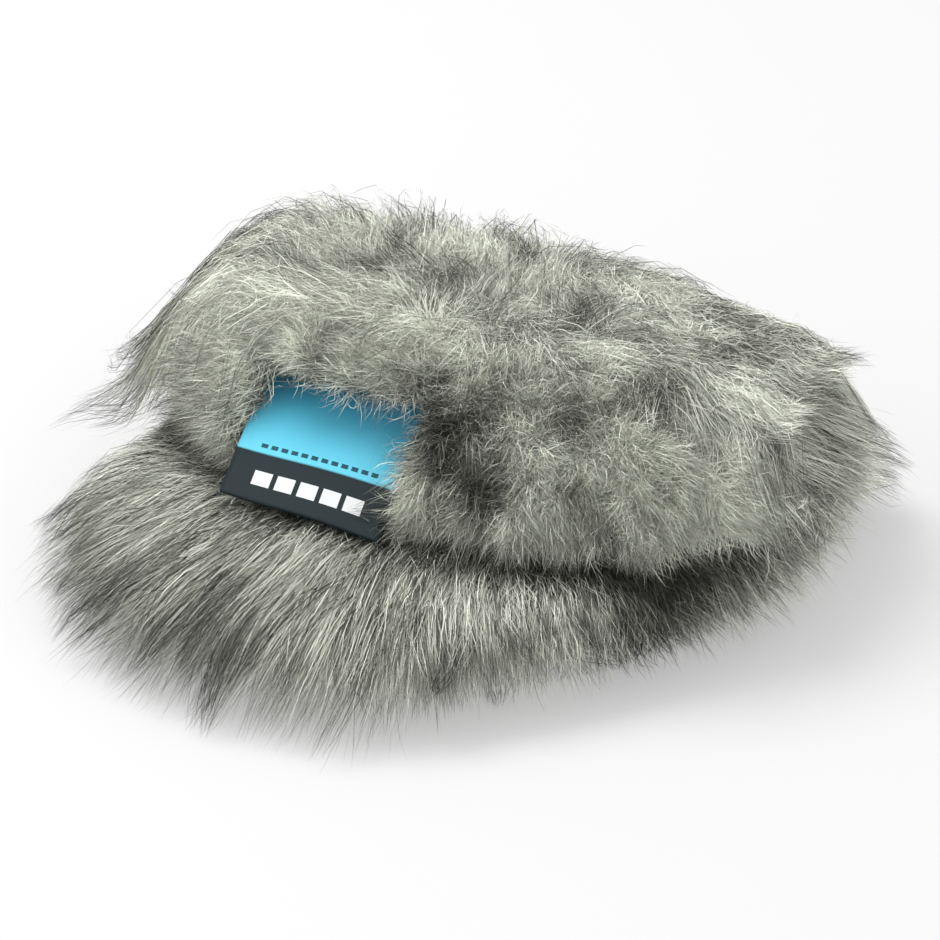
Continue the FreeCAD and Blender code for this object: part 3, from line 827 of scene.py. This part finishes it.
def mouth_dome(x, y):
    """Height of the pile's top behind the mouth edge: a dome, low at its two ends."""
    top = look_up(MOUTH_TOP, x, np.maximum(y, MOUTH_EDGE))
    top += 5.0 * np.exp(-((x + 30) / 45) ** 2 - ((y - 46) / 26) ** 2) - 1.0
    top += 1.8 * noise(x, y, 9, 53) + 1.2 * noise(x, y, 5, 54)
    top -= 16.0 * ramp(-x, 56, 92) + 8.0 * ramp(x, 58, 84)
    return top - (10.0 * ramp(x, 38, 84) + 14.0 * ramp(x, 30, 56)) * ramp(y, 22, 64)


def mouth_surface(p):
    """The pile's own top, which rounds down ahead of the mouth edge to its front."""
    x, y = p[:, 0], p[:, 1]
    top, start = mouth_dome(x, y), mouth_front(x)
    below = look_up(NOSE_TOP, x, y) + 3.0
    s = (MOUTH_EDGE - y) / np.maximum(MOUTH_EDGE - start, 1.0)
    round_front = below + (top - below) * np.sqrt(np.clip(1 - np.clip(s, 0, 1) ** 2, 0, 1))
    beyond = below - 1.6 * np.maximum(start - y, 0)
    return np.maximum(np.where(y < MOUTH_EDGE, np.where(s < 1, round_front, beyond), top), 6.0)


def mouth_ceiling(p, depth):
    base = np.maximum(look_up(MOUTH_SKIN_TOP, p[:, 0], p[:, 1]), 20)
    top = np.maximum(mouth_surface(p), np.where(p[:, 1] > MOUTH_LOW[1], base + 1.5, 0))
    return between(np.minimum(base, top), top, depth)


def label_plane(y):
    slope = (LABEL_PIVOT[2] - LABEL_LOW[2]) / (LABEL_PIVOT[1] - LABEL_LOW[1])
    return LABEL_PIVOT[2] + (y - LABEL_PIVOT[1]) * slope


def label_top(p):
    """Height just above the label where it lies, and nothing beside it."""
    height = label_plane(p[:, 1]) + 2.0
    across = (p[:, 0] > LABEL_LOW[0]) & (p[:, 0] < LABEL_HIGH[0])
    along = (p[:, 1] > LABEL_LOW[1]) & (p[:, 1] < LABEL_PIVOT[1])
    return np.where(across & along, height, 0.0)


MOUTH_LEAST = 27.0      # the pile of the mouth half hangs no lower than this


def mouth_floor(p):
    on_skin = look_up(MOUTH_SKIN_TOP, p[:, 0], p[:, 1]) + 0.4
    on_nose = look_up(NOSE_TOP, p[:, 0], p[:, 1]) + 0.6
    at_zip = (p[:, 0] > MOUTH_HIGH[0] - 5) & (p[:, 1] > MOUTH_EDGE) & (p[:, 1] < ZIP_END + 3)
    over_zip = np.where(at_zip, CHAIN_Z + ZIP_CLEAR, 0.0)
    least = np.full(len(p), MOUTH_LEAST)
    return np.maximum.reduce([on_skin, on_nose, label_top(p), over_zip, least])


def under_ceiling(height):
    return lambda p, depth: np.full(len(p), height - 0.6) - 2.0 * (1 - depth)


def mouth_droop(p):
    """More over the mouth's edge, most of all over the label's sewn edge; little at the left."""
    over_label = ramp(p[:, 0], LABEL_LOW[0] - 6, LABEL_LOW[0])
    over_label *= 1 - ramp(p[:, 0], LABEL_HIGH[0], LABEL_HIGH[0] + 8)
    droop = 0.3 + (0.6 + 1.1 * over_label) * (1 - ramp(p[:, 1], -8, 24))
    return droop * (1 - 0.85 * ramp(-p[:, 0], 44, 68))


def mouth_length(p):
    """Longer at the front and the left, shorter over the zip."""
    front = 1 - ramp(p[:, 1], 12, 36)
    left = ramp(-p[:, 0], 40, 72)
    over_zip = ramp(p[:, 0], 58, MOUTH_HIGH[0]) * ramp(p[:, 1], MOUTH_EDGE, MOUTH_EDGE + 6)
    longer = np.maximum(0.35 * front * (1 - 0.6 * left), 0.52 * left)
    return (0.80 + longer) * (1 - 0.42 * over_zip)


def nose_distance(x, y):
    """0 in the middle of the nose half, 1 at the edge of its fabric, more beyond it."""
    start = np.where(x < TIP_X, NOSE_LEFT_Y, NOSE_RIGHT_Y)
    side = np.where(x < TIP_X, TIP_X - NOSE_LOW[0], NOSE_HIGH[0] - TIP_X)
    across, ahead = (x - TIP_X) / side, np.maximum(0, start - y) / (start - NOSE_LOW[1])
    return np.sqrt(across ** 2 + ahead ** 2)


def nose_trim(p):
    """Shorter at the rim, most of all at the right."""
    rim = ramp(nose_distance(p[:, 0], p[:, 1]), 0.58, 0.97)
    return 1 - rim * (0.10 + 0.16 * ramp(-p[:, 0], 35, 65) + 0.70 * ramp(p[:, 0], -12, 50))


def nose_length(p):
    """Shorter still under the mouth half."""
    covered = ramp(p[:, 1] - mouth_front(p[:, 0]), -4, 8)
    return nose_trim(p) * (1 - 0.55 * covered)


# The pile in front of the mouth edge: full-bodied, with the hidden part of each hair left out
def front_point(x, turn):
    """A point of the pile's rounded front, from its top (turn 0) over to its underside."""
    start = mouth_front(x)
    start = start + 3.0 * noise(x, 9 * turn, 9, 51) + 2.0 * noise(x, 9 * turn, 4, 52)
    start = np.minimum(start, MOUTH_EDGE - 1)
    y = MOUTH_EDGE + 2 - (MOUTH_EDGE + 2 - start) * np.sin(turn)
    below = look_up(NOSE_TOP, x, np.maximum(y, start)) + 5.0
    z = below + (mouth_dome(x, y) - below) * np.cos(turn)
    return np.column_stack([x, y, z])


def fringe_roots(side, count, rng):
    """Roots inside the pile's rounded front, and none over the label."""
    x, turn = np.empty(0), np.empty(0)
    while len(x) < count:
        new_x, new_turn = rng.uniform(*side, count), rng.uniform(0, 1.8, count)
        room = np.clip((MOUTH_EDGE - mouth_front(new_x)) / 30, 0.02, 1)
        on_label = ramp(new_x, LABEL_LOW[0] - 4, LABEL_LOW[0] + 1)
        on_label *= 1 - ramp(new_x, LABEL_HIGH[0] + 4, LABEL_HIGH[0] + 10)
        on_label *= ramp(new_turn, 0.42, 0.7)
        kept = (rng.random(count) < room) & (rng.random(count) > on_label)
        x, turn = np.concatenate([x, new_x[kept]]), np.concatenate([turn, new_turn[kept]])
    x, turn = x[:count], turn[:count]
    surface = front_point(x, turn)
    across = front_point(x + 1.5, turn) - front_point(x - 1.5, turn)
    over = front_point(x, turn + 0.05) - front_point(x, turn - 0.05)
    outward = unit(np.cross(over, across))
    inward = outward[:, 2] * np.cos(turn) - outward[:, 1] * np.sin(turn) < 0
    outward *= np.where(inward, -1, 1)[:, None]
    return surface - outward * rng.uniform(6, 11, (count, 1)), outward


def under_label(p):
    """Height just below the label's plane, on both sides of it too."""
    return label_plane(p[:, 1]) - 4.0


def hidden_roots(side, count, rng):
    """Roots at the mouth edge, in the space between the label and the nose half's pile."""
    x, y = rng.uniform(*side, count), rng.uniform(MOUTH_EDGE - 8, MOUTH_EDGE - 1, count)
    low = look_up(NOSE_TOP, x, y) + 1.0
    top = np.maximum(under_label(np.column_stack([x, y])), low)
    z = low + (top - low) * rng.random(count)
    return np.column_stack([x, y, z]), np.tile([0.0, -1.0, 0.2], (count, 1))


def ends(p):
    """1 at the mouth half's right end, a little less than 0 at its left."""
    return ramp(p[:, 0], 54, 74) - 0.2 * ramp(-p[:, 0], 54, 74)


def steady(value):
    return lambda p: np.full(len(p), value)


NOSE_KIND = {
    "flow": nose_flow, "droop": steady(0.75), "ceiling": nose_ceiling, "floor": nose_floor,
    "length": nose_length, "shade": nose_shade,
}
NOSE_UNDER_KIND = {
    "flow": nose_flow, "droop": steady(0.3), "ceiling": under_ceiling(NOSE_LOW[2]),
    "floor": steady(0.4), "length": lambda p: 0.68 * nose_trim(p), "shade": nose_shade,
}
MOUTH_KIND = {
    "flow": mouth_flow, "droop": mouth_droop,
    "ceiling": mouth_ceiling, "floor": mouth_floor, "length": mouth_length, "shade": mouth_shade,
    "layers": FLUFFY,
}
FRINGE_KIND = dict(
    MOUTH_KIND, roots=fringe_roots, length=steady(0.62), droop=steady(0.6), layers=FRINGE,
    ceiling=lambda p, depth: np.full(len(p), REACH[2][1]), floor=nose_floor,
)
MOUTH_UNDER_KIND = {
    "flow": mouth_flow, "droop": lambda p: 0.25 + 0.8 * ends(p), "ceiling": under_ceiling(FLOOR[1]),
    "floor": lambda p: HINGE[2] + 0.4 - 14.0 * ends(p), "length": lambda p: 0.55 + 0.5 * ends(p),
    "shade": mouth_shade,
}
FOLD_INSIDE_KIND = {
    "flow": lambda p: np.column_stack([0.4 * noise(p[:, 0], p[:, 2], 9, 42), -one(p)]),
    "droop": steady(0.0), "ceiling": under_ceiling(FLOOR[1]), "floor": steady(NOSE_HIGH[2] + 1.0),
    "length": steady(0.8), "shade": mouth_shade,
}
FOLD_KIND = {
    "flow": lambda p: unit(np.column_stack([
        0.012 * p[:, 0] + 0.6 * noise(p[:, 0], p[:, 2], 14, 41), one(p),
    ])),
    "droop": steady(1.2), "ceiling": mouth_ceiling, "floor": steady(0.4), "length": steady(0.6),
    "shade": mouth_shade,
}
BEHIND_LABEL_KIND = {
    "flow": lambda p: np.column_stack([0.5 * noise(p[:, 0], p[:, 2], 7, 43), -one(p)]),
    "droop": steady(0.2), "ceiling": lambda p, depth: under_label(p), "floor": nose_floor,
    "length": steady(0.62), "shade": mouth_shade, "roots": hidden_roots, "layers": FRINGE,
}

CENTRES, UP = TRIANGLES.mean(axis=1), TRIANGLE_NORMALS[:, 2]
IN_NOSE, IN_MOUTH = TRIANGLE_CODES < 0.02, TRIANGLE_CODES > 0.98
ROUND_FOLD = ~IN_NOSE & ~IN_MOUTH
FACING_UP = UP > -0.15
COVERED = IN_NOSE & (CENTRES[:, 1] > 24) & (np.abs(CENTRES[:, 0]) < 60) & (UP > 0.5)
ZIP_SIDE = (
    IN_MOUTH & (CENTRES[:, 0] > MOUTH_HIGH[0] - ON_WALL)
    & (np.abs(CENTRES[:, 2] - CHAIN_Z) < ZIP_HALF)
)


def strips(where, parts):
    """The region cut along X into strips of about equal area."""
    order = np.argsort(CENTRES[:, 0])
    so_far = np.cumsum((TRIANGLE_AREAS * where)[order])
    strip = np.empty(len(order), dtype=int)
    strip[order] = np.minimum(so_far / so_far[-1] * parts, parts - 1).astype(int)
    return [(where & (strip == k)).astype(float) for k in range(parts)]


def furs():
    """Every stretch of pile, in strips that stay under the exporter's size for one piece."""
    front = IN_NOSE & FACING_UP & ~COVERED
    mouth_top = IN_MOUTH & FACING_UP & ~ZIP_SIDE & (CENTRES[:, 2] > HINGE[2])
    mouth_under = IN_MOUTH & ~FACING_UP & ~ZIP_SIDE
    outside_fold = ROUND_FOLD & (TRIANGLE_NORMALS[:, 1] >= -0.1)
    inside_fold = ROUND_FOLD & (TRIANGLE_NORMALS[:, 1] < -0.1)
    fringe = [(-74, -4), (-4, 38), (38, 86)]
    behind_label = (LABEL_LOW[0] - 8, LABEL_HIGH[0] + 8)
    stretches = {
        "nose_fur_front": ("nose_half", strips(front, 3), 4.6, NOSE_KIND),
        "nose_fur_covered": ("nose_half", strips(COVERED, 1), 2.0, NOSE_KIND),
        "nose_fur_under": ("nose_half", strips(IN_NOSE & ~FACING_UP, 1), 0.9, NOSE_UNDER_KIND),
        "mouth_fur_top": ("mouth_half", strips(mouth_top, 3), 10.0, MOUTH_KIND),
        "mouth_fur_fringe": ("mouth_half", fringe, 22000, FRINGE_KIND),
        "mouth_fur_under": ("mouth_half", strips(mouth_under, 1), 2.0, MOUTH_UNDER_KIND),
        "fold_fur": (None, strips(outside_fold, 2), 4.4, FOLD_KIND),
        "fold_fur_inside": (None, strips(inside_fold, 1), 3.0, FOLD_INSIDE_KIND),
        "mouth_fur_behind_label": ("mouth_half", [behind_label], 6000, BEHIND_LABEL_KIND),
    }
    made = {}
    for name, (body, parts, density, kind) in stretches.items():
        for number, where in enumerate(parts, 1):
            fur = pile(f"{name}_{number}", where, density, kind, len(made))
            made[fur.name] = fur
            if body:
                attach(fur, body)
            else:
                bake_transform(fur)
    return made


FURS = furs()
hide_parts("nose_cap_fur")
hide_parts("nose_inner_fur")
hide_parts("nose_outer_fur")
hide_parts("nose_fold_fur", "mouth_fold_fur")
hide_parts("mouth_outer_fur")
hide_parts("mouth_inner_fur")


# ---- label ----
LABEL_LEAN = 0.10       # how much lower its right side is than its left at the tip, per mm
LABEL_SHIFT = 2.5       # how far the tip is to the right of the sewn edge
LABEL_ARCH = 1.0        # how far it bows up between the sewn edge and the tip
LABEL_GAP = 0.45        # half the distance between its two layers
LABEL_THICK = 0.3


def marks(nodes, across, along, stretch, width, count, gap):
    """A plain row of equal bars: 1 on a bar, 0 beside it."""
    place = nodes.math("FRACT", nodes.math("MULTIPLY", across, count), 0.0)
    inside = nodes.math("MULTIPLY", nodes.math("GREATER_THAN", place, gap / 2),
                        nodes.math("LESS_THAN", place, 1 - gap / 2))
    for value, (low, high) in ((across, width), (along, stretch)):
        inside = nodes.math("MULTIPLY", inside, nodes.math("GREATER_THAN", value, low))
        inside = nodes.math("MULTIPLY", inside, nodes.math("LESS_THAN", value, high))
    return inside


def label_material():
    """Satin ribbon, blue to cyan along its length (V), with a dark band at its folded end."""
    nodes = Nodes("label_satin", 0.6, 0.16)
    split = nodes.add("ShaderNodeSeparateXYZ")
    nodes.link(nodes.place("OFBake"), split.inputs["Vector"])
    from_tip = nodes.math("ABSOLUTE", nodes.math("SUBTRACT", split.outputs["Y"], 0.5), 0.0)
    ground = nodes.ramp(from_tip, [
        (0.0, (0.008, 0.016, 0.019)), (0.165, (0.008, 0.017, 0.020)),
        (0.170, (0.12, 0.53, 0.69)), (0.5, (0.045, 0.34, 0.54)),
    ])
    bars = marks(nodes, split.outputs["X"], from_tip, (0.055, 0.105), (1 / 7, 6 / 7), 7.0, 0.22)
    ground = nodes.mix("MIX", bars, ground, (0.62, 0.64, 0.64))
    dashes = marks(nodes, split.outputs["X"], from_tip, (0.187, 0.202), (0.125, 0.875), 16.0, 0.34)
    ground = nodes.mix("MIX", dashes, ground, (0.012, 0.07, 0.10))
    weave = nodes.math(
        "MULTIPLY", nodes.wave(58.0, "X", uv="OFBake"), nodes.wave(110.0, "Y", uv="OFBake")
    )
    shade = nodes.ramp(weave, [(0.0, grey(0.80)), (1.0, grey(1.0))])
    nodes.colour(nodes.mix("MULTIPLY", 1.0, ground, shade))
    nodes.bump(weave, 0.35, 0.0001)
    return nodes.material


def make_label():
    """A ribbon folded double at its free end and sewn into the mouth edge."""
    tip = np.array([LABEL_LOW[1] + 0.3, LABEL_LOW[2] + 0.6])
    root = LABEL_PIVOT[1:]
    along = (tip - root) / np.linalg.norm(tip - root)
    normal = np.array([along[1], -along[0]])
    normal = normal if normal[1] > 0 else -normal
    length = np.linalg.norm(tip - root)
    line, gap = [], LABEL_GAP
    for f in np.linspace(0, 1, 28):
        rise = LABEL_ARCH * math.sin(math.pi * f) + gap * ramp(f, 0.0, 0.1)
        line.append(root + along * f * length + normal * rise)
    for a in np.radians(np.linspace(60, -60, 5)):
        line.append(tip + along * gap * math.cos(a) + normal * gap * math.sin(a))
    for f in np.linspace(1, 0, 28):
        rise = LABEL_ARCH * math.sin(math.pi * f) - gap * ramp(f, 0.0, 0.1)
        line.append(root + along * f * length + normal * rise)
    line = np.array(line)
    across = np.linspace(LABEL_LOW[0], LABEL_HIGH[0], 22)
    middle = (LABEL_LOW[0] + LABEL_HIGH[0]) / 2
    points = []
    for y, z in line:
        for x in across:
            out = max(0.0, (root[0] - y) / length)
            dx = x - middle
            ripple = 0.35 * math.sin(0.15 * dx + 1.0)
            points.append((
                x + LABEL_SHIFT * out, y - 0.05 * dx * out, z + (ripple - LABEL_LEAN * dx) * out,
            ))
    count, wide = len(line), len(across)
    faces = [
        [i * wide + j, i * wide + j + 1, (i + 1) * wide + j + 1, (i + 1) * wide + j]
        for i in range(count - 1) for j in range(wide - 1)
    ]
    label = new_mesh("label_ribbon_woven", points, faces)
    smooth(label)
    travelled = np.concatenate([[0], np.cumsum(np.linalg.norm(np.diff(line, axis=0), axis=1))])
    v = travelled / travelled[-1]
    layer = label.data.uv_layers.new(name="OFBake")
    for loop in label.data.loops:
        i, j = divmod(loop.vertex_index, wide)
        layer.data[loop.index].uv = (j / (wide - 1), v[i])
    thick = label.modifiers.new("thickness", "SOLIDIFY")
    thick.thickness = LABEL_THICK * MM
    thick.offset = 0.0
    label.data.materials.append(label_material())
    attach(label, "label")
    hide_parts("label_ribbon", "label_band")


make_label()
dress_cad_nodes()


# ---- floor, light and camera ----
# Distances here are in metres, as the camera and the lights take them.
VIEW_AZIMUTH, VIEW_ELEVATION = 22.0, 30.0
LOOK_AT = Vector((0.0, 0.010, 0.0287))
DISTANCE = 1.5
VIEW_WIDTH = 0.224
SENSOR_MM = 36.0
FLOOR_EDGE = 6000       # half the floor's side, in millimetres


def floor_material():
    nodes = Nodes("studio_floor", 0.9, 0.1)
    nodes.colour(nodes.ramp(nodes.noise(3.0, 1.0), [(0.0, grey(0.32)), (1.0, grey(0.33))]))
    nodes.shader.inputs["Emission Color"].default_value = (1.0, 1.0, 1.0, 1.0)
    nodes.shader.inputs["Emission Strength"].default_value = 0.36
    return nodes.material


def area_light(name, place, size, power):
    data = bpy.data.lights.new(name, "AREA")
    data.shape = "DISK"
    data.size = size
    data.energy = power
    light = bpy.data.objects.new(name, data)
    bpy.context.scene.collection.objects.link(light)
    light.location = place
    light.rotation_euler = (LOOK_AT - Vector(place)).to_track_quat("-Z", "Y").to_euler()


def studio():
    scene = bpy.context.scene
    edge = FLOOR_EDGE
    corners = [(-edge, -edge, 0), (edge, -edge, 0), (edge, edge, 0), (-edge, edge, 0)]
    floor = new_mesh("studio_floor", corners, [[0, 1, 2, 3]])
    floor.data.materials.append(floor_material())
    world = bpy.data.worlds.new("studio")
    scene.world = world
    world.use_nodes = True
    background = world.node_tree.nodes["Background"]
    background.inputs["Color"].default_value = (1.0, 1.0, 1.0, 1.0)
    background.inputs["Strength"].default_value = 0.98
    area_light("key", (-0.5, 0.1, 1.0), 0.7, 11.5)
    area_light("fill_right", (0.8, -0.7, 0.6), 0.9, 4.4)
    area_light("fill_left", (-0.9, -0.8, 0.6), 0.9, 4.4)
    scene.view_settings.view_transform = "Standard"
    a, e = math.radians(VIEW_AZIMUTH), math.radians(VIEW_ELEVATION)
    away = Vector((math.sin(a) * math.cos(e), -math.cos(a) * math.cos(e), math.sin(e)))
    data = bpy.data.cameras.new("camera")
    data.sensor_width = SENSOR_MM
    data.lens = SENSOR_MM * DISTANCE / VIEW_WIDTH
    data.clip_start, data.clip_end = 0.05, 20.0
    camera = bpy.data.objects.new("camera", data)
    scene.collection.objects.link(camera)
    camera.location = LOOK_AT + away * DISTANCE
    camera.rotation_euler = (-away).to_track_quat("-Z", "Y").to_euler()
    scene.camera = camera


studio()
